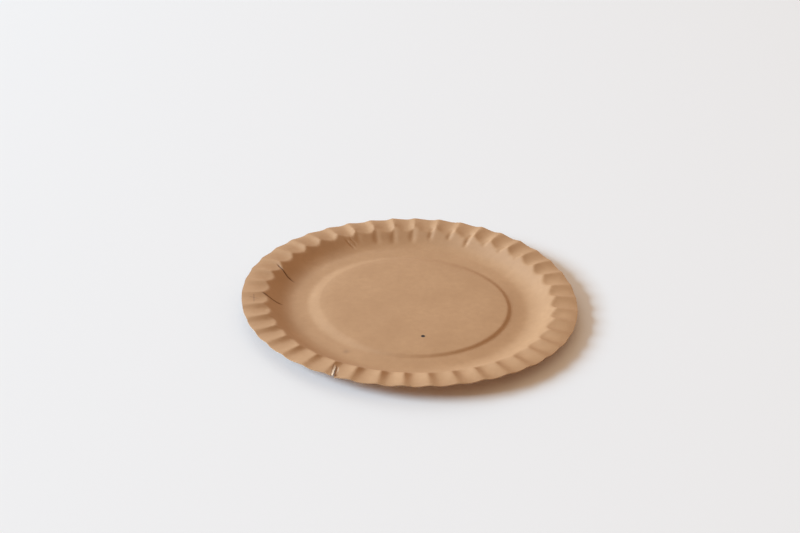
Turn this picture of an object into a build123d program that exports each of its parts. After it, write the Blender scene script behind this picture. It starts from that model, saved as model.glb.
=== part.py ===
from build123d import *
import os
from math import atan2, cos, radians, sin

# Fluted paper plate: one sheet of kraft board, pressed to shape between two dies.
# The origin is under the middle of the plate, on the surface that it rests on, and +Z is up.
# Angles are in degrees and run counter-clockwise from +X, seen from above.

# Driving dimensions, in millimetres. Heights are of the upper side of the board.
PLATE_RADIUS = 90.0  # to the cut edge of the board
BOARD = 0.5  # thickness of the board
FLOOR_RADIUS = 52.6  # flat raised floor in the middle
FLOOR_RISE = 1.5  # from the ring channel up to the floor
STEP_WIDTH = 2.4  # sloping step from the floor down to the channel
FOOT_RADIUS = 60.5  # where the flat ring channel starts to turn up
FOOT_BLEND = 12.0  # radius of that turn
FOOT_STEPS = 3  # straight lines that the turn is drawn with
WALL_SLOPE = 36.9  # degrees, at the end of that turn
KNEE_RADIUS = 75.8  # where the wall starts to turn over into the rim
KNEE_HEIGHT = 9.2
CREST_RADIUS = 79.8  # highest line of the rim
CREST_HEIGHT = 9.95
EDGE_HEIGHT = 7.8  # at the cut edge

# Flutes pressed into the wall, the knee and the rim
FLUTES = 42
FIRST_RIDGE = 2.9  # angle of the middle of one ridge
RIDGE_SHARE = 0.44  # of a flute's width, the rest is trough
START_FLUTE = 0.3  # depth from ridge to trough at the foot of the wall
KNEE_FLUTE = 0.8
CREST_FLUTE = 1.75
EDGE_FLUTE = 1.3

# The rim has warped a little: (lobes, height in millimetres, angle of one crest)
WARP = [(2, 0.69, 71.0), (3, 0.75, 52.3)]

# Tear through the rim, from the cut edge inwards
TEAR_EDGE_ANGLE = 246.7
TEAR_TIP_ANGLE = 244.8
TEAR_TIP_RADIUS = 81.0
TEAR_WIDTH = 0.7  # at the cut edge


def warp(radius, angle):
    """How far the warp lifts the board, from nothing at the foot of the wall to all of it at the edge."""
    foot = FOOT_RADIUS + FOOT_BLEND * sin(radians(WALL_SLOPE))
    share = max(0.0, (radius - foot) / (PLATE_RADIUS - foot))
    waves = [height * cos(radians(lobes * (angle - crest))) for lobes, height, crest in WARP]
    return share * sum(waves)


def middle_line():
    """Corners of the plain middle's section, from the centre to the turn into the wall."""
    corners = [
        Vector(0, 0, BOARD + FLOOR_RISE),
        Vector(FLOOR_RADIUS, 0, BOARD + FLOOR_RISE),
        Vector(FLOOR_RADIUS + STEP_WIDTH, 0, BOARD),
    ]
    return corners + [foot_point(step / FOOT_STEPS) for step in range(FOOT_STEPS)]


def foot_point(share):
    """A point on the turn from the channel into the wall."""
    turn = radians(WALL_SLOPE * share)
    return Vector(FOOT_RADIUS + FOOT_BLEND * sin(turn), 0, BOARD + FOOT_BLEND * (1 - cos(turn)))


def fluted_line():
    """Corners of the fluted part's section, from the wall to the cut edge."""
    return [
        foot_point(1),
        Vector(KNEE_RADIUS, 0, KNEE_HEIGHT),
        Vector(CREST_RADIUS, 0, CREST_HEIGHT),
        Vector(PLATE_RADIUS, 0, EDGE_HEIGHT),
    ]


def lowered(corners, depth):
    """The same section line at a depth in the board, measured square to its upper side."""
    slopes = [atan2(b.Z - a.Z, b.X - a.X) for a, b in zip(corners, corners[1:])]
    slopes = [slopes[0], *slopes, slopes[-1]]
    moved = []
    for corner, before, after in zip(corners, slopes, slopes[1:]):
        middle = (before + after) / 2
        reach = depth / cos((after - before) / 2)
        moved.append(corner + Vector(sin(middle), 0, -cos(middle)) * reach)
    return moved


def on_plate(corner, angle):
    """A corner of the section, turned to an angle and lifted by the warp."""
    lifted = Vector(corner.X, 0, corner.Z + warp(corner.X, angle))
    return lifted.rotate(Axis.Z, angle)


def arc(corner, start, end, bulge):
    """An arc between two angles that bulges up, or that lies flat on the plate's circle."""
    first = on_plate(corner, start)
    last = on_plate(corner, end)
    crown = (first + last) / 2 + Vector(0, 0, bulge)
    if bulge == 0:
        crown = on_plate(corner, (start + end) / 2)
    return Edge.make_three_point_arc(first, crown, last)


def ring(corner, flute):
    """A closed line of arcs round the plate, a ridge and a trough in turn, tangent where they meet."""
    pitch = 360 / FLUTES
    ridge = RIDGE_SHARE * pitch
    arcs = []
    for number in range(FLUTES):
        start = FIRST_RIDGE + number * pitch - ridge / 2
        arcs.append(arc(corner, start, start + ridge, RIDGE_SHARE * flute))
        arcs.append(arc(corner, start + ridge, start + pitch, (RIDGE_SHARE - 1) * flute))
    return arcs


def strip(inner, outer):
    """Ruled faces between two rings."""
    return [Face.make_surface_from_curves(a, b) for a, b in zip(inner, outer)]


def side(depth):
    """Faces of the board's side at a depth, and the ring along its cut edge."""
    middle = middle_line()
    corners = lowered(middle + fluted_line(), depth)
    faces = []
    for a, b in zip(corners, corners[1 : len(middle)]):
        faces += Face.revolve(Edge.make_line(a, b), 360, Axis.Z).faces()
    flutes = [0, START_FLUTE, KNEE_FLUTE, CREST_FLUTE, EDGE_FLUTE]
    rings = [ring(corner, flute) for corner, flute in zip(corners[len(middle) - 1 :], flutes)]
    for inner, outer in zip(rings, rings[1:]):
        faces += strip(inner, outer)
    return faces, rings[-1]


def pressed_board():
    """The whole sheet: both sides and the cut edge between them."""
    upper, upper_edge = side(0)
    lower, lower_edge = side(BOARD)
    return Solid(Shell(upper + lower + strip(upper_edge, lower_edge)))


def tear():
    """A thin wedge that stands through the rim, wide at the cut edge and sharp at its tip."""
    mouth = Vector(PLATE_RADIUS + BOARD, 0, 0).rotate(Axis.Z, TEAR_EDGE_ANGLE)
    tip = Vector(TEAR_TIP_RADIUS, 0, 0).rotate(Axis.Z, TEAR_TIP_ANGLE)
    across = Vector(0, TEAR_WIDTH / 2, 0).rotate(Axis.Z, TEAR_EDGE_ANGLE)
    outline = Face(Wire.make_polygon([mouth - across, mouth + across, tip]))
    return Solid.extrude(outline, Vector(0, 0, 2 * CREST_HEIGHT))


torn_board = pressed_board() - tear()
os.makedirs("parts", exist_ok=True)
export_step(torn_board.solids()[0], "parts/plate.step")
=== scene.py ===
import math

import bpy
import numpy as np
from mathutils import Matrix, Vector


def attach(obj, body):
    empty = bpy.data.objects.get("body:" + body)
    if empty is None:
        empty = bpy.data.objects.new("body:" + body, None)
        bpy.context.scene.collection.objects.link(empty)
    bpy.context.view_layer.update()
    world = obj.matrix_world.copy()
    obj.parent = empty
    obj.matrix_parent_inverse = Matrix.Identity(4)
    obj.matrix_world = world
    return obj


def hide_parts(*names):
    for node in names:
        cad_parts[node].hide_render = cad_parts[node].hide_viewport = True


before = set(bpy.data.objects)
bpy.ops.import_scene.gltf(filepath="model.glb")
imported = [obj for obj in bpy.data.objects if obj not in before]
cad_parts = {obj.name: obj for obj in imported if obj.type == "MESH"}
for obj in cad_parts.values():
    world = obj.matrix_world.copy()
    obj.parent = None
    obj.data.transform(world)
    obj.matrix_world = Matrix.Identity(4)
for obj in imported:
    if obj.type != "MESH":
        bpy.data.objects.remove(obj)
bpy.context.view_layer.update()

# Lengths are in millimetres and angles in degrees, counter-clockwise from +X seen from above.
# A point on the plate is given as (radius, angle).
MM = 0.001
PLATE_RADIUS = 90.0
BOARD = 0.5  # thickness

# Sides of the plate: (angle of the middle, cosines of the turn from it where the side begins and is full)
SHARP_SIDE = (318.0, -0.4, 0.8)
SOFT_SIDE = (310.0, 0.2, 0.9)
WIDE_SIDE = (345.0, -0.2, 0.6)

# Section of the upper side: the raised floor, the step round it, the ring channel and the wall.
# The step is sharp on SHARP_SIDE and soft elsewhere.
FLOOR_HEIGHT = 2.2
FLOOR_CROWN = 2.0
CROWN_LOSS = 0.35  # share of the crown that its flat top lacks
CHANNEL_HEIGHT = 0.5
STEP_FOOT = 54.4
SHARP_STEP = (1.5, 0.5)  # width of the slope, reach of its rounded corners
SOFT_STEP = (6.4, 2.0)
CHANNEL_SLOPE = 0.10  # the channel still falls a little outwards on the sharp side
CHANNEL_END = 62.0
CHANNEL_REACH = (0.6, 2.0)  # of the rounded start and end of that fall
FOOT_RADIUS = 67.4
FOOT_REACH = 4.8
WALL_SLOPE = 0.66

# Rim: its ridges bend down from the crest to the cut edge, and it meets the wall at a rounded knee
CREST_RADIUS = 79.8
CREST_HEIGHT = 7.75
RIM_DROOP = 0.0036  # times the square of the distance past the crest
KNEE_BLEND = 0.7

# Flutes: after each ridge comes a steep side, then a gentle one that rises to the next ridge
FLUTES = 42
FIRST_RIDGE = 3.5
STEEP_SHARE = 0.34  # of a flute's width
WIDE_STEEP_SHARE = 0.45  # on WIDE_SIDE
FLUTE_CHANGE = (77.0, 88.5)  # radii between which depth and rounding go from the crest's to the edge's
CREST_DEPTH = 1.6
EDGE_DEPTH = 0.8
SOFT_EDGE_DEPTH = 0.78  # on SOFT_SIDE
CREST_ROUNDING = 0.06  # of the ridges, where 0 is a fold
EDGE_ROUNDING = 0.25
SOFTER_RIDGES = 0.10  # more rounding on SOFT_SIDE
UNEVEN_DEPTH = 0.16  # share of the depth that a flute may have more or less
UNEVEN_PLACE = 0.35  # how far a ridge may be off its place

# Warp of the rim: (lobes, height, angle of one crest), from nothing at WARP_START to all at the edge
WARP = [(2, 0.69, 71.0), (3, 0.75, 52.3)]
WARP_START = 67.7

# Slow unevenness of the board, as waves: (height, length along X, length along Y, shift).
# The ring that the plate rests on has none: (radii where that begins, is full, ends and is over).
SWELLS = [(0.025, 9.1, 7.3, 0.9), (0.025, 9.1, -7.3, 1.7), (0.035, 4.9, -6.1, 0.0), (0.03, 5.7, 4.3, 2.0)]
RESTING_RING = (50.0, 54.0, 62.0, 68.0)

# Tear through the rim, from its tip out to the cut edge
TEAR_TIP = (81.0, 244.8)
TEAR_EDGE = (90.0, 246.7)
TEAR_WIDTH = 0.45
TEAR_FLARE = 0.6  # share of the opening that comes by a curve, the rest comes evenly
TEAR_REACH = 1.5  # how far from it the board is pushed aside
TEAR_LEAN = 5.0  # how far from it the columns of the mesh still lean along it
TEAR_JAGS = [(0.16, 5.3, 0.0), (0.1, 11.9, 1.0)]  # waves of the torn line: (height, rate, shift)
LIP_BEFORE = (0.75, 1.7, -1.0)  # height of the lip, its reach, its share of the jags
LIP_AFTER = (-0.45, 2.6, 0.5)

# Cut edge: its inset, the waves of its fibres, and the notch in it as (angle, depth, half width)
EDGE_INSET = 0.1
EDGE_REACH = 2.0
EDGE_FIBRES = [(0.025, 4.6, 2.5708), (0.025, 10.8, -0.5708), (0.03, 17.3, 0.0)]
NOTCH = (271.2, 0.9, 0.35)

# Cracks in the pressed surface: points along each. They are also painted dark, as painted shade in them.
CRACKS = [
    [(79.4, 159.2), (74.6, 161.2), (71.5, 162.6), (65.8, 164.2)],
    [(79.2, 183.6), (73.8, 185.6), (67.6, 186.5)],
]
CRACK_DEPTH = 0.6
CRACK_WIDTH = 0.36

# Pleats that run down the wall from the flutes, then a double crease: (top, bottom, depth, half width)
PLEATS = [
    ((80.0, 30.2), (75.5, 30.8), 0.16, 1.3),
    ((80.0, 38.6), (74.6, 39.8), 0.30, 1.3),
    ((80.0, 47.6), (73.6, 48.8), 0.38, 1.3),
    ((80.0, 55.8), (74.0, 57.2), 0.42, 1.3),
    ((80.5, 64.4), (70.8, 65.2), 0.72, 1.3),
    ((80.5, 73.0), (72.6, 73.8), 0.58, 1.4),
    ((80.5, 81.4), (71.4, 82.2), 0.56, 1.5),
    ((80.5, 89.6), (69.0, 90.4), 0.50, 1.8),
    ((80.5, 98.2), (67.8, 99.0), 0.50, 2.0),
    ((80.5, 106.2), (67.8, 106.8), 0.44, 2.0),
    ((80.5, 114.6), (70.0, 115.2), 0.26, 1.8),
    ((74.6, 121.0), (68.0, 118.6), 0.42, 0.5),
    ((75.2, 118.8), (70.0, 116.8), 0.34, 0.45),
]

# A crack or pleat begins, is full, fades and is over at these shares of its length, from its inner end
GROOVE_ENDS = (-0.05, 0.3, 0.85, 1.08)

# Small marks: a dark speck, a smudge, and a crossed scratch on the rim as (start, end)
SPECK = (36.5, 282.0)
SPECK_FADE = (0.9, 1.275)  # radii between which it fades
SMUDGE = (58.8, 237.8)
SMUDGE_RADIUS = 1.6
SMUDGE_SHADE = 0.45
SCRATCHES = [((83.5, 184.8), (83.5, 189.9)), ((81.2, 187.0), (85.5, 186.1))]
SCRATCH_WIDTH = 0.22
SCRATCH_SHADE = 0.6
PAINT_DEPTH = 0.2  # marks are painted down to here below the upper side

# Stripes painted along the tear, pale torn fibres and dark painted shade: (distance after it, half width,
# strength)
LONG_FIBRES = (-0.7, 0.42, 1.0)
SHORT_FIBRES = (1.2, 0.28, 0.8)
SHORT_FIBRES_END = (86.8, 87.8)  # radii between which they fade away
# Painted shade in the slit, and a painted shadow on the lifted lip before the tear
SLIT_SHADE = (-0.05, 0.24, 1.0)
LIP_SHADOW = (-1.65, 0.18, 0.6)
STRIPES_START = (80.5, 82.5)  # radii between which all stripes begin
STRIPE_JAGS = [(0.12, 7.1, 0.0), (0.1, 15.7, 0.6)]

# Colours as they show on screen, from 0 to 255
KRAFT = (183, 138, 94)
LIGHT_KRAFT = (191, 146, 102)
MOTTLE = (175, 130, 86)
PALE_FIBRE = (216, 182, 146)
DARK_FIBRE = (150, 105, 64)
# Painted shade for the cracks, the tear's slit and its lifted lip
CRACK_AND_TEAR_SHADE = (78, 34, 10)
TORN_COLOUR = (232, 208, 180)
MARK_COLOUR = (128, 88, 58)
SPECK_COLOUR = (30, 14, 8)
BACKDROP = (239, 239, 239)

# Surface of the board: its fibres lie across this turn, in radians, and give it a fine relief.
# Cracks and the speck are duller.
FIBRE_TURN = 0.6
RELIEF_STRENGTH = 0.25
RELIEF_DEPTH = 0.2
BOARD_ROUGHNESS = 0.68
DULL_ROUGHNESS = 1.0
BOARD_SPECULAR = 1.0

# Camera: it looks at the axis of the plate, and that point lies off the middle of the picture
PICTURE = (800, 533)
AIM_HEIGHT = 7.0
AIM_PIXEL = (410.14, 294.66)
CAMERA_DISTANCE = 765.0
CAMERA_ELEVATION = 29.82
CAMERA_ROLL = -2.48
FOCAL_PIXELS = 1424.5
SENSOR = 36.0
CLIP_START = 10.0

# Ground: its colour in full light, and the faint warm light in its shadows that only the camera sees
GROUND_REACH = 6000.0
GROUND_COLOUR = 0.86
GROUND_LIFT = 0.06
LIFT_COLOUR = (1.0, 0.30, 0.15)

# Lamps, with sizes in metres, and the light from all round, which is weaker from the camera's side
LAMP_DISTANCE = 8.0
LAMP_COLOUR = (0.62, 0.815, 1.0)
NEAR_STRENGTH = 0.27
NEAR_COLOUR = (1.0, 0.64, 0.36, 1.0)
FAR_STRENGTH = 0.80
FAR_COLOUR = (1.0, 0.78, 0.57, 1.0)

# Mesh: columns run round the plate and start at the tear, and rows run outwards.
# Inside each radius of HALVINGS the rows have half as many points.
COLUMNS = 1008
HALVINGS = [13.0, 24.0, 38.0]
INNER_ROWS = [3.0, 8.0, 13.0, 18.5, 24.0, 31.0, 38.0, 44.0]
RIM_ROWS = [81.0, 81.7, 82.4, 83.0, 83.35, 83.5, 83.65, 84.0, 84.7, 85.4, 86.1, 86.8, 87.5, 88.2]
EDGE_ROWS = [88.8, 89.3, 89.7, 89.9, PLATE_RADIUS]

# Rows of either side at the step, the wall and the knee: (first radius, end, distance)
UPPER_ROWS = [(48.0, 57.4, 0.62), (58.0, 73.0, 1.2), (73.2, 80.8, 0.5)]
LOWER_ROWS = [(48.0, 57.6, 0.95), (58.4, 68.0, 1.9), (69.4, 80.8, 1.0)]

# Columns are closer together at some angles: (how many times more, over what half width)
TEAR_COLUMNS = (4.0, 1.6)
CRACK_COLUMNS = (4.0, 2.4)
PLEAT_COLUMNS = (0.7, 2.0)
ANGLE_SAMPLES = 7201
SHARP_FROM = 50.0  # faces that meet at more than this have a sharp edge

RNG = np.random.default_rng(42)


def smooth_step(value, start, end):
    """From 0 at the start to 1 at the end, level at both."""
    share = np.clip((value - start) / (end - start), 0.0, 1.0)
    return share * share * (3 - 2 * share)


def plateau(value, start, full, fade, end):
    """1 from full to fade, and 0 before the start and after the end."""
    return smooth_step(value, start, full) * (1 - smooth_step(value, fade, end))


def bell(distance, half_width):
    """1 at no distance, falling to 0 on both sides."""
    return np.exp(-((distance / half_width) ** 2))


def between(first, second, share):
    """A value on the way from the first to the second."""
    return first + (second - first) * share


def waves(place, parts):
    """A sum of waves, each given as (height, rate, shift)."""
    return sum(height * np.sin(place * rate + shift) for height, rate, shift in parts)


def bend(distance, reach):
    """Nothing before a corner and the distance after it, rounded within reach of it."""
    rounded = np.clip(distance + reach, 0, None) ** 2 / (4 * reach)
    return np.where(distance > reach, distance, rounded)


def lower_of(first, second, blend):
    """The lower of two heights, with a rounded change from one to the other."""
    near = np.clip(blend - np.abs(first - second), 0, None) / blend
    return np.minimum(first, second) - near**2 * blend / 4


def turned(angle, centre):
    """Signed difference between two angles, from -180 to 180."""
    return (np.asarray(angle) - centre + 180) % 360 - 180


def at_side(angle, side):
    """How far an angle belongs to a side of the plate, from 0 to 1."""
    middle, begins, full = side
    return smooth_step(np.cos(np.radians(angle - middle)), begins, full)


def flat(point):
    """A point given by radius and angle, as x and y."""
    radius, angle = point
    return radius * np.array([math.cos(math.radians(angle)), math.sin(math.radians(angle))])


def wall_line(radius, angle):
    """Height of the floor, the channel and the plain wall, as if the wall went on upwards."""
    sharp = at_side(angle, SHARP_SIDE)
    width, reach = [between(soft, hard, sharp) for soft, hard in zip(SOFT_STEP, SHARP_STEP)]
    gentle = CHANNEL_SLOPE * sharp
    fall = (FLOOR_HEIGHT - CHANNEL_HEIGHT - gentle * (CHANNEL_END - STEP_FOOT)) / width
    crown = np.clip(1 - (radius / STEP_FOOT) ** 2, 0, None)
    height = FLOOR_HEIGHT + FLOOR_CROWN * crown * (1 - CROWN_LOSS * crown)
    past_step = radius - STEP_FOOT
    height -= fall * (bend(past_step + width, reach) - bend(past_step, reach))
    channel = bend(past_step, CHANNEL_REACH[0]) - bend(radius - CHANNEL_END, CHANNEL_REACH[1])
    height -= gentle * channel
    return height + WALL_SLOPE * bend(radius - FOOT_RADIUS, FOOT_REACH)


def flute_factors():
    """A depth and a shift for every flute, a little uneven."""
    depth = 1 + UNEVEN_DEPTH * RNG.uniform(-1, 1, FLUTES)
    shift = RNG.uniform(-UNEVEN_PLACE, UNEVEN_PLACE, FLUTES)
    return depth, shift


FLUTE_SCALE, FLUTE_SHIFT = flute_factors()


def round_blend(values, place):
    """A value for every flute, blended smoothly from one flute to the next."""
    first = np.floor(place).astype(int) % FLUTES
    share = smooth_step(place - np.floor(place), 0.0, 1.0)
    return between(values[first], values[(first + 1) % FLUTES], share)


def fluted_rim(radius, angle):
    """Height of the rim: folded ridges with rounded troughs between them."""
    pitch = 360 / FLUTES
    place = (angle - FIRST_RIDGE) / pitch
    place = place - round_blend(FLUTE_SHIFT, place) / pitch
    soft = at_side(angle, SOFT_SIDE)
    outwards = smooth_step(radius, *FLUTE_CHANGE)
    share = between(STEEP_SHARE, WIDE_STEEP_SHARE, at_side(angle, WIDE_SIDE))
    past = place - np.floor(place)
    turn = np.minimum(past / share, 1) + np.clip(past - share, 0, None) / (1 - share)
    rounding = between(CREST_ROUNDING, EDGE_ROUNDING, outwards) + SOFTER_RIDGES * soft
    fall = np.sqrt(np.sin(np.pi * turn / 2) ** 2 + rounding**2) - rounding
    fall /= np.sqrt(1 + rounding**2) - rounding
    depth = between(CREST_DEPTH, between(EDGE_DEPTH, SOFT_EDGE_DEPTH, soft), outwards)
    depth = depth * round_blend(FLUTE_SCALE, place)
    past_crest = np.maximum(radius - CREST_RADIUS, 0)
    return CREST_HEIGHT - RIM_DROOP * past_crest**2 - depth * fall


def warp(radius, angle):
    """How far the warp lifts the board."""
    share = np.clip((radius - WARP_START) / (PLATE_RADIUS - WARP_START), 0, None)
    return share * sum(high * np.cos(np.radians(lobes * (angle - crest))) for lobes, high, crest in WARP)


def swell(radius, angle):
    """Slow unevenness of the pressed board."""
    x = radius * np.cos(np.radians(angle))
    y = radius * np.sin(np.radians(angle))
    height = sum(high * np.sin(x / along + y / across + shift) for high, along, across, shift in SWELLS)
    return height * (1 - plateau(radius, *RESTING_RING))


def groove(radius, angle, path, half_width):
    """A bell across a line of points, from 1 on the line to 0, that fades at the line's ends."""
    radii = np.array([point[0] for point in path])[::-1]
    angles = np.array([point[1] for point in path])[::-1]
    across = np.radians(turned(angle, np.interp(radius, radii, angles))) * radius
    along = (radius - radii[0]) / (radii[-1] - radii[0])
    return bell(across, half_width) * plateau(along, *GROOVE_ENDS)


def pleats(radius, angle):
    """How far the pleats lower the board."""
    return sum(depth * groove(radius, angle, [top, bottom], wide) for top, bottom, depth, wide in PLEATS)


def cracks(radius, angle):
    """How deep into a crack a place is, from 0 to 1."""
    return np.max([groove(radius, angle, path, CRACK_WIDTH) for path in CRACKS], axis=0)


def upper_height(radius, angle):
    """Height of the upper side of the board."""
    height = lower_of(wall_line(radius, angle), fluted_rim(radius, angle), KNEE_BLEND)
    height = height + warp(radius, angle) + swell(radius, angle)
    return height - pleats(radius, angle) - CRACK_DEPTH * cracks(radius, angle)


def lower_height(radius, angle):
    """The underside follows the upper side, at the board's thickness square to it."""
    step = 0.2
    least_radius = 5.0
    most_tilt = 2.0
    turn = np.degrees(step / np.maximum(radius, least_radius))
    outwards = (upper_height(radius + step, angle) - upper_height(radius - step, angle)) / (2 * step)
    round_it = (upper_height(radius, angle + turn) - upper_height(radius, angle - turn)) / (2 * step)
    tilt = np.minimum(outwards**2 + round_it**2, most_tilt)
    return upper_height(radius, angle) - BOARD * np.sqrt(1 + tilt)


def tear_line(radius):
    """Angle of the tear at a radius."""
    return np.interp(radius, (TEAR_TIP[0], TEAR_EDGE[0]), (TEAR_TIP[1], TEAR_EDGE[1]))


def edge_nicks(angle):
    """How far the cut edge is nibbled in: fibres all round and a small notch at the front."""
    middle, depth, half_width = NOTCH
    return EDGE_INSET + waves(angle, EDGE_FIBRES) + depth * bell(turned(angle, middle), half_width)


def column_angles():
    """Angles of the columns, closer together where cracks, pleats and the tear need it."""
    angle = np.linspace(0, 360, ANGLE_SAMPLES)
    density = np.ones_like(angle)
    spots = [(TEAR_EDGE[1], *TEAR_COLUMNS)]
    spots += [(path[1][1], *CRACK_COLUMNS) for path in CRACKS]
    spots += [((top[1] + bottom[1]) / 2, *PLEAT_COLUMNS) for top, bottom, _, _ in PLEATS]
    for centre, extra, half_width in spots:
        density += extra * bell(turned(angle, centre), half_width)
    total = np.concatenate([[0.0], np.cumsum((density[1:] + density[:-1]) / 2)])
    total /= total[-1]
    start = np.interp(TEAR_EDGE[1], angle, total)
    shares = start + np.arange(COLUMNS + 1) / COLUMNS
    return np.interp(shares % 1.0, total, angle) + 360 * np.floor(shares)


def row_radii(runs):
    """Radii of one side's rows. From the tip of the tear outwards both sides have the same."""
    return np.concatenate([INNER_ROWS, *[np.arange(*run) for run in runs], RIM_ROWS, EDGE_ROWS])


def place_rows(radii, angles, height_at):
    """Radius, angle and height of one side's points. The first half of the columns is after the tear."""
    radius = radii[:, None] + np.zeros_like(angles)[None]
    angle = np.zeros_like(radius) + angles[None]
    lean = bell(turned(angle, TEAR_EDGE[1]), TEAR_LEAN)
    angle = angle + (tear_line(radius) - TEAR_EDGE[1]) * lean
    radius = radius - smooth_step(radius, PLATE_RADIUS - EDGE_REACH, PLATE_RADIUS) * edge_nicks(angle)
    height = height_at(radius, angle)
    along = np.clip((radius - TEAR_TIP[0]) / (PLATE_RADIUS - TEAR_TIP[0]), 0, None)
    opening = between(along, smooth_step(along, 0.0, 1.0), TEAR_FLARE)
    after = np.arange(angles.size) < angles.size // 2
    lift, reach, jags = [np.where(after, second, first) for first, second in zip(LIP_BEFORE, LIP_AFTER)]
    away = np.abs(np.radians(turned(angle, tear_line(radius)))) * radius
    gap = (TEAR_WIDTH / 2 + waves(radius, TEAR_JAGS) * jags) * np.exp(-away / TEAR_REACH)
    angle = angle + np.degrees(np.where(after, 1.0, -1.0) * opening * gap / radius)
    return radius, angle, height + opening * lift * np.exp(-away / reach)


def ring_faces(outer, inner):
    """Faces between two rows of the same number of points, or of half as many on the inner one."""
    if len(outer) == len(inner):
        return [(a, b, d, c) for a, b, c, d in zip(inner, outer, inner[1:], outer[1:])]
    faces = []
    for k in range(len(inner) - 1):
        a, b, c = outer[2 * k : 2 * k + 3]
        d, e = inner[k : k + 2]
        faces += [(d, a, b), (d, b, e), (e, b, c)]
    return faces


class Side:
    """One side of the board: its points and the index of each row's points."""

    def __init__(self, radii, angles, height_at, first_index):
        radius, angle, height = place_rows(radii, angles, height_at)
        self.radii = radii
        self.centre = first_index
        self.points = [(0.0, 0.0, float(height[0].mean()))]
        self.rows = []
        for number, base in enumerate(radii):
            step = 2 ** sum(base < limit for limit in HALVINGS)
            columns = np.arange(0, angles.size, step)
            closed = base <= TEAR_TIP[0]
            if closed:
                columns = columns[:-1]
            turn = np.radians(angle[number, columns])
            far = radius[number, columns]
            start = first_index + len(self.points)
            line = np.stack([far * np.cos(turn), far * np.sin(turn), height[number, columns]], 1)
            self.points += [tuple(point) for point in line]
            row = list(range(start, start + len(line)))
            if closed:
                row.append(start)
            self.rows.append(row)

    def faces(self):
        """Faces of the whole side, with the upper side's corners counter-clockwise from above."""
        first = self.rows[0]
        faces = [(self.centre, a, b) for a, b in zip(first, first[1:])]
        for inner, outer in zip(self.rows, self.rows[1:]):
            faces += ring_faces(outer, inner)
        return faces


def turned_over(faces):
    """The same faces, seen from the other side."""
    return [tuple(reversed(face)) for face in faces]


def tear_walls(upper, lower, end):
    """Faces between both sides of the board, along one end of the rows that the tear cuts."""
    cut_rows = sum(radius >= TEAR_TIP[0] for radius in upper.radii)
    top = [row[end] for row in upper.rows[-cut_rows:]]
    low = [row[end] for row in lower.rows[-cut_rows:]]
    return [(a, c, d, b) for a, b, c, d in zip(top, low, top[1:], low[1:])]


def board_mesh():
    """The whole board as one closed mesh, and its points in millimetres."""
    angles = column_angles()
    upper = Side(row_radii(UPPER_ROWS), angles, upper_height, 0)
    lower = Side(row_radii(LOWER_ROWS), angles[::2], lower_height, len(upper.points))
    faces = upper.faces() + turned_over(lower.faces())
    faces += ring_faces(upper.rows[-1], lower.rows[-1])
    faces += tear_walls(upper, lower, 0) + turned_over(tear_walls(upper, lower, -1))
    points = np.array(upper.points + lower.points)
    mesh = bpy.data.meshes.new("plate_board")
    mesh.from_pydata((points * MM).tolist(), [], faces)
    mesh.validate()
    mesh.shade_smooth()
    mesh.set_sharp_from_angle(angle=math.radians(SHARP_FROM))
    return mesh, points


def near_line(x, y, start, end, half_width):
    """A bell across a straight line between two points."""
    first = flat(start)
    step = flat(end) - first
    share = np.clip(((x - first[0]) * step[0] + (y - first[1]) * step[1]) / step.dot(step), 0, 1)
    away = np.hypot(x - first[0] - share * step[0], y - first[1] - share * step[1])
    return bell(away, half_width)


def marks(x, y):
    """How dark the smudge and the scratches are at a place, from 0 to 1."""
    middle = flat(SMUDGE)
    shade = SMUDGE_SHADE * bell(np.hypot(x - middle[0], y - middle[1]), SMUDGE_RADIUS)
    shade += SCRATCH_SHADE * sum(near_line(x, y, *ends, SCRATCH_WIDTH) for ends in SCRATCHES)
    return np.clip(shade, 0, 1)


def stripe(across, line):
    """A painted stripe beside the tear."""
    place, half_width, strength = line
    return strength * bell(across - place, half_width)


def tear_paint(radius, angle):
    """How much pale fibre shows along the tear, and how much painted shade: in its slit, and as a shadow
    on the lifted lip.
    """
    across = np.radians(turned(angle, tear_line(radius))) * radius
    jagged = across + waves(radius, STRIPE_JAGS)
    short = 1 - smooth_step(radius, *SHORT_FIBRES_END)
    fibres = stripe(jagged, LONG_FIBRES) + stripe(jagged, SHORT_FIBRES) * short
    # Painted shade in the slit and a painted shadow on the lifted lip
    tear_shades = stripe(jagged, SLIT_SHADE) + stripe(across, LIP_SHADOW)
    start = smooth_step(radius, *STRIPES_START)
    return fibres * start, tear_shades * start


def paint(mesh, name, values):
    """Give every point of a mesh a value from 0 to 1 under a name."""
    attribute = mesh.attributes.new(name, "FLOAT", "POINT")
    attribute.data.foreach_set("value", np.ascontiguousarray(np.clip(values, 0, 1), dtype=np.float32))


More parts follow.
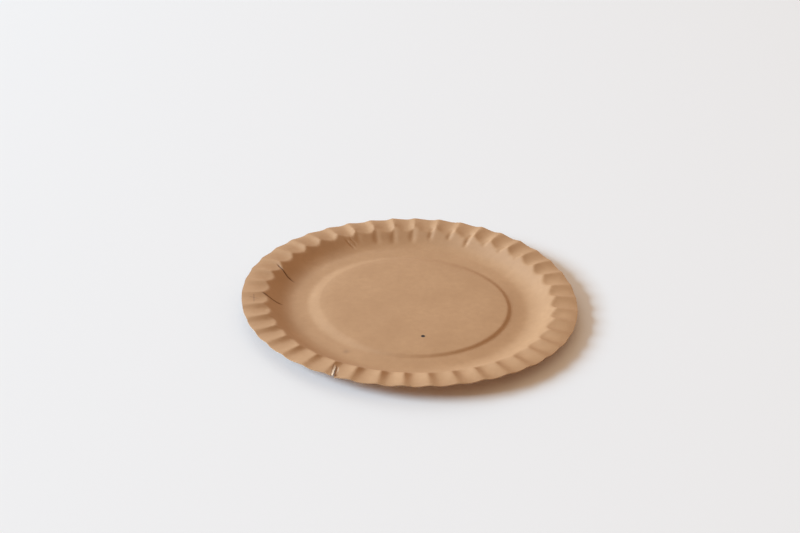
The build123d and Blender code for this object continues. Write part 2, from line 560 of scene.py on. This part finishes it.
class Nodes:
    """A small builder for the nodes of a material or a world."""

    def __init__(self, owner):
        self.tree = owner.node_tree
        self.tree.nodes.clear()

    def put(self, value, socket):
        """Link another node's output to a socket, or set the socket to a plain value."""
        if isinstance(value, bpy.types.NodeSocket):
            self.tree.links.new(value, socket)
        else:
            socket.default_value = value

    def add(self, kind, inputs=None, **settings):
        node = self.tree.nodes.new(kind)
        for key, value in settings.items():
            setattr(node, key, value)
        for key, value in (inputs or {}).items():
            self.put(value, node.inputs[key])
        return node

    def mix(self, share, first, second):
        """A colour on the way from the first to the second."""
        node = self.add("ShaderNodeMix", data_type="RGBA")
        for number, value in ((0, share), (6, first), (7, second)):
            self.put(value, node.inputs[number])
        return node.outputs[2]

    def mix_shaders(self, share, first, second):
        return self.add("ShaderNodeMixShader", {0: share, 1: first, 2: second}).outputs[0]

    def spread(self, value, low, high, new_low=0.0, new_high=1.0):
        """A value between low and high, moved to the same place between the new ones."""
        node = self.add("ShaderNodeMapRange", {0: value, 1: low, 2: high, 3: new_low, 4: new_high})
        return node.outputs[0]

    def noise(self, vector, scale, detail, roughness):
        settings = {"Vector": vector, "Scale": scale, "Detail": detail, "Roughness": roughness}
        return self.add("ShaderNodeTexNoise", settings).outputs[0]

    def calculate(self, operation, first, second):
        return self.add("ShaderNodeMath", {0: first, 1: second}, operation=operation).outputs[0]

    def painted(self, name):
        return self.add("ShaderNodeAttribute", attribute_name=name).outputs["Fac"]

    def finish(self, shader, kind="ShaderNodeOutputMaterial"):
        self.add(kind, {"Surface": shader})


def linear(shown):
    """A colour given as it shows on screen, 0 to 255, as Blender's linear values."""
    channels = [channel / 255 for channel in shown]
    return (*[((c + 0.055) / 1.055) ** 2.4 if c > 0.04045 else c / 12.92 for c in channels], 1.0)


def speck_mask(nodes, place):
    """1 on the dark speck and 0 elsewhere."""
    centre = (*(flat(SPECK) * MM), float(upper_height(*SPECK)) * MM)
    away = nodes.add("ShaderNodeVectorMath", {0: place, 1: centre}, operation="DISTANCE")
    full, over = SPECK_FADE
    return nodes.spread(away.outputs["Value"], over * MM, full * MM)


def kraft():
    """Brown kraft board: clouds and mottle, fibres that lie one way, and what is painted on the mesh:
    pale torn fibres, marks, and painted shade in the cracks and the tear.
    """
    material = bpy.data.materials.new("kraft_board")
    material.use_nodes = True
    nodes = Nodes(material)
    place = nodes.add("ShaderNodeTexCoord").outputs["Object"]
    cloud = nodes.noise(place, scale=42.0, detail=3.0, roughness=0.55)
    colour = nodes.mix(nodes.spread(cloud, 0.35, 0.65), linear(KRAFT), linear(LIGHT_KRAFT))
    mottle = nodes.noise(place, scale=260.0, detail=4.0, roughness=0.6)
    colour = nodes.mix(nodes.spread(mottle, 0.3, 0.7, new_high=0.5), colour, linear(MOTTLE))
    lying = {"Vector": place, "Rotation": (0, 0, FIBRE_TURN), "Scale": (1.0, 7.0, 3.0)}
    stretched = nodes.add("ShaderNodeMapping", lying).outputs[0]
    fibre = nodes.noise(stretched, scale=900.0, detail=3.0, roughness=0.65)
    colour = nodes.mix(nodes.spread(fibre, 0.58, 0.78, new_high=0.22), colour, linear(PALE_FIBRE))
    colour = nodes.mix(nodes.spread(fibre, 0.42, 0.26, new_high=0.2), colour, linear(DARK_FIBRE))
    # Painted shade: the cracks and the tear's slit darkened, and a painted shadow on the lifted lip
    crack_and_tear_shade = nodes.painted("crack_and_tear_shade")
    colour = nodes.mix(crack_and_tear_shade, colour, linear(CRACK_AND_TEAR_SHADE))
    colour = nodes.mix(nodes.painted("torn"), colour, linear(TORN_COLOUR))
    colour = nodes.mix(nodes.painted("marks"), colour, linear(MARK_COLOUR))
    speck = speck_mask(nodes, place)
    colour = nodes.mix(speck, colour, linear(SPECK_COLOUR))
    fine = nodes.noise(place, scale=2600.0, detail=2.0, roughness=0.6)
    relief = nodes.calculate("ADD", fibre, fine)
    heights = {"Height": relief, "Strength": RELIEF_STRENGTH, "Distance": RELIEF_DEPTH * MM}
    bump = nodes.add("ShaderNodeBump", heights).outputs[0]
    dull = nodes.calculate("MAXIMUM", crack_and_tear_shade, speck)
    roughness = nodes.spread(dull, 0.0, 1.0, BOARD_ROUGHNESS, DULL_ROUGHNESS)
    board = {"Base Color": colour, "Normal": bump, "Roughness": roughness}
    board["Specular IOR Level"] = BOARD_SPECULAR
    nodes.finish(nodes.add("ShaderNodeBsdfPrincipled", board).outputs[0])
    return material


def plate():
    """The plate's visible board, in place of the CAD model's."""
    mesh, points = board_mesh()
    x, y, z = points.T
    radius = np.hypot(x, y)
    angle = np.degrees(np.arctan2(y, x)) % 360
    upper = z > upper_height(radius, angle) - PAINT_DEPTH
    fibres, tear_shades = tear_paint(radius, angle)
    paint(mesh, "marks", marks(x, y) * upper)
    paint(mesh, "torn", fibres)
    # The cracks and the tear's slit are painted dark as painted shade, with a painted shadow on the
    # lifted lip
    paint(mesh, "crack_and_tear_shade", (cracks(radius, angle) + tear_shades) * upper)
    mesh.materials.append(kraft())
    piece = bpy.data.objects.new("plate_board", mesh)
    bpy.context.scene.collection.objects.link(piece)
    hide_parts("plate")
    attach(piece, "root")


def ground_material():
    """Matt and pale. The camera sees GROUND_COLOUR where the light is full, and warmer shadows."""
    material = bpy.data.materials.new("floor")
    material.use_nodes = True
    nodes = Nodes(material)
    own = [(GROUND_COLOUR - GROUND_LIFT * channel) / (1 - GROUND_LIFT) for channel in LIFT_COLOUR]
    matt = nodes.add("ShaderNodeBsdfDiffuse", {"Color": (*own, 1.0)}).outputs[0]
    added = nodes.add("ShaderNodeEmission", {"Color": (*LIFT_COLOUR, 1.0), "Strength": 1.0}).outputs[0]
    rays = nodes.add("ShaderNodeLightPath").outputs["Is Camera Ray"]
    share = nodes.spread(rays, 0.0, 1.0, new_high=GROUND_LIFT)
    nodes.finish(nodes.mix_shaders(share, matt, added))
    return material


def ground():
    """A wide level ground under the plate."""
    reach = GROUND_REACH * MM
    corners = [(-reach, -reach, 0), (reach, -reach, 0), (reach, reach, 0), (-reach, reach, 0)]
    mesh = bpy.data.meshes.new("floor")
    mesh.from_pydata(corners, [], [(0, 1, 2, 3)])
    mesh.materials.append(ground_material())
    piece = bpy.data.objects.new("floor", mesh)
    bpy.context.scene.collection.objects.link(piece)


def lamp(name, azimuth, elevation, size, power):
    """A wide soft lamp that shines at the plate. The azimuth is an angle round the plate."""
    light = bpy.data.lights.new(name, "AREA")
    light.shape = "RECTANGLE"
    light.size, light.size_y = size
    light.energy = power
    light.color = LAMP_COLOUR
    turn = math.radians(azimuth)
    rise = math.radians(elevation)
    towards = Vector((math.cos(turn) * math.cos(rise), math.sin(turn) * math.cos(rise), math.sin(rise)))
    piece = bpy.data.objects.new(name, light)
    piece.location = towards * LAMP_DISTANCE
    piece.rotation_euler = (-towards).to_track_quat("-Z", "Y").to_euler()
    bpy.context.scene.collection.objects.link(piece)


def studio():
    """Warm light from all round, with a plain pale backdrop that only the camera sees."""
    world = bpy.data.worlds.new("studio")
    world.use_nodes = True
    nodes = Nodes(world)
    direction = nodes.add("ShaderNodeTexCoord").outputs["Generated"]
    across = nodes.add("ShaderNodeSeparateXYZ", {0: direction}).outputs["Y"]
    strength = nodes.spread(across, -1.0, 1.0, NEAR_STRENGTH, FAR_STRENGTH)
    colour = nodes.mix(nodes.spread(across, -1.0, 1.0), NEAR_COLOUR, FAR_COLOUR)
    light = nodes.add("ShaderNodeBackground", {"Color": colour, "Strength": strength}).outputs[0]
    seen = nodes.add("ShaderNodeBackground", {"Color": linear(BACKDROP), "Strength": 1.0}).outputs[0]
    rays = nodes.add("ShaderNodeLightPath").outputs["Is Camera Ray"]
    nodes.finish(nodes.mix_shaders(rays, light, seen), "ShaderNodeOutputWorld")
    bpy.context.scene.world = world


def camera():
    data = bpy.data.cameras.new("camera")
    data.sensor_width = SENSOR
    data.lens = FOCAL_PIXELS / PICTURE[0] * SENSOR
    data.shift_x = -(AIM_PIXEL[0] - PICTURE[0] / 2) / PICTURE[0]
    data.shift_y = (AIM_PIXEL[1] - PICTURE[1] / 2) / PICTURE[0]
    data.clip_start = CLIP_START * MM
    rise = math.radians(CAMERA_ELEVATION)
    back = Vector((0, -math.cos(rise), math.sin(rise)))
    place = Matrix.Translation((Vector((0, 0, AIM_HEIGHT)) + back * CAMERA_DISTANCE) * MM)
    aimed = (-back).to_track_quat("-Z", "Y").to_matrix().to_4x4()
    piece = bpy.data.objects.new("camera", data)
    piece.matrix_world = place @ aimed @ Matrix.Rotation(math.radians(-CAMERA_ROLL), 4, "Z")
    bpy.context.scene.collection.objects.link(piece)
    bpy.context.scene.camera = piece


camera()
lamp("key", azimuth=183, elevation=25, size=(4.2, 2.6), power=1030.0)
lamp("back", azimuth=115, elevation=33, size=(6.0, 3.0), power=100.0)
studio()
ground()
plate()
bpy.context.scene.view_settings.view_transform = "Standard"

bpy.context.view_layer.update()
